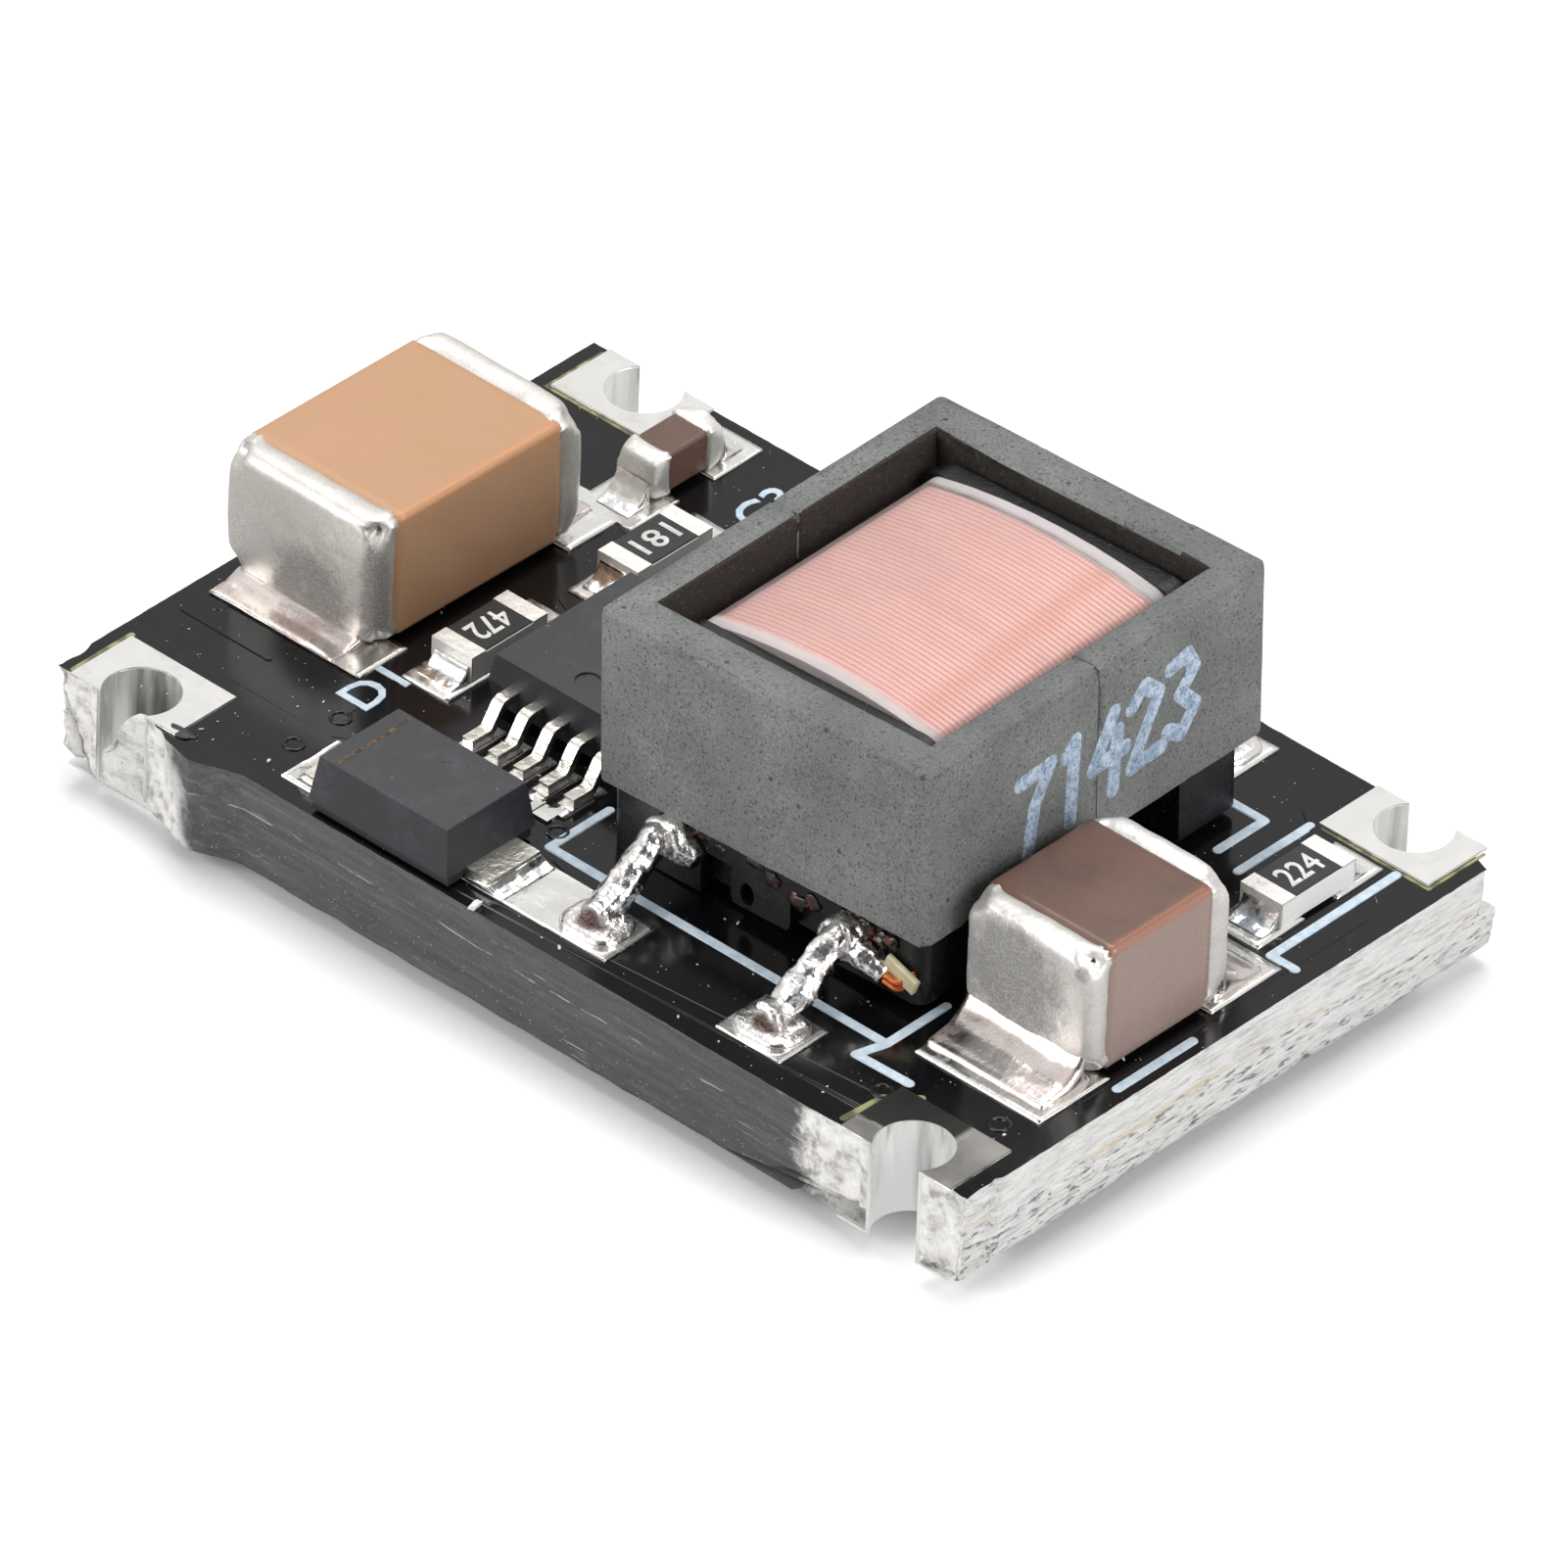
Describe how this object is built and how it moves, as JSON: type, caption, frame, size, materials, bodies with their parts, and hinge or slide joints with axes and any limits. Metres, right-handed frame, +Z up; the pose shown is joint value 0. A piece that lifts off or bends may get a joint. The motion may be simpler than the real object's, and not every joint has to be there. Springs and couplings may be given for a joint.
{
  "type": "voltage boost converter module",
  "caption": "Small black circuit board carrying a ferrite transformer, ceramic capacitors, a diode, a controller chip and chip resistors, with half-round plated notches at its corners.",
  "frame": {"origin": "middle of the board's underside, where the module rests", "axes": "+X along the board's long side towards the second capacitor, +Y across it away from the diode, +Z up from the underside"},
  "size_m": [0.018, 0.0117, 0.006],
  "materials": {
    "solder_mask": "gloss black solder mask over glass fibre laminate",
    "tin_plate": "bright tinned copper",
    "solder": "bright solder",
    "tan_ceramic": "satin tan ceramic",
    "brown_ceramic": "satin brown ceramic",
    "end_cap_metal": "dull tinned end caps",
    "white_ceramic": "matte white ceramic",
    "resistor_coat": "gloss black coat",
    "black_moulding": "fine matte black moulding",
    "lead_metal": "matte tinned leads",
    "ferrite": "ground grey ferrite",
    "bobbin_plastic": "black moulded plastic",
    "enamelled_wire": "pink enamelled copper wire",
    "tape_film": "clear polyester tape",
    "bare_copper": "bare copper",
    "sleeve_film": "yellowish sleeve",
    "print_ink": "pale printed ink"
  },
  "bodies": {
    "root": {"circuit_board": "solder_mask", "front_left_edge_terminal": "tin_plate", "front_right_edge_terminal": "tin_plate", "back_left_edge_terminal": "tin_plate", "back_right_edge_terminal": "tin_plate", "tinned_pads": "tin_plate", "printed_lines": "print_ink", "large_capacitor_block": "tan_ceramic", "large_capacitor_end_caps": "end_cap_metal", "large_capacitor_solder": "solder", "second_capacitor_block": "brown_ceramic", "second_capacitor_end_caps": "end_cap_metal", "second_capacitor_solder": "solder", "small_capacitor_block": "brown_ceramic", "small_capacitor_end_caps": "end_cap_metal", "small_capacitor_solder": "solder", "diode_body": "black_moulding", "diode_leads": "lead_metal", "diode_solder": "solder", "controller_body": "black_moulding", "controller_leads": "lead_metal", "controller_solder": "solder", "chip_resistor_solder": "solder", "core_front_half": "ferrite", "core_back_half": "ferrite", "bobbin": "bobbin_plastic", "inner_winding": "enamelled_wire", "outer_winding": "enamelled_wire", "inner_tape": "tape_film", "outer_tape": "tape_film", "front_pins": "lead_metal", "back_pins": "lead_metal", "front_pin_solder": "solder", "back_pin_solder": "solder", "front_wire_wraps": "solder", "back_wire_wraps": "solder", "copper_strands": "bare_copper", "wire_sleeve": "sleeve_film", "front_chip_resistor_ceramic": "white_ceramic", "front_chip_resistor_coat": "resistor_coat", "front_chip_resistor_ends": "end_cap_metal", "rear_chip_resistor_ceramic": "white_ceramic", "rear_chip_resistor_coat": "resistor_coat", "rear_chip_resistor_ends": "end_cap_metal", "end_chip_resistor_ceramic": "white_ceramic", "end_chip_resistor_coat": "resistor_coat", "end_chip_resistor_ends": "end_cap_metal"}
  },
  "joints": []
}
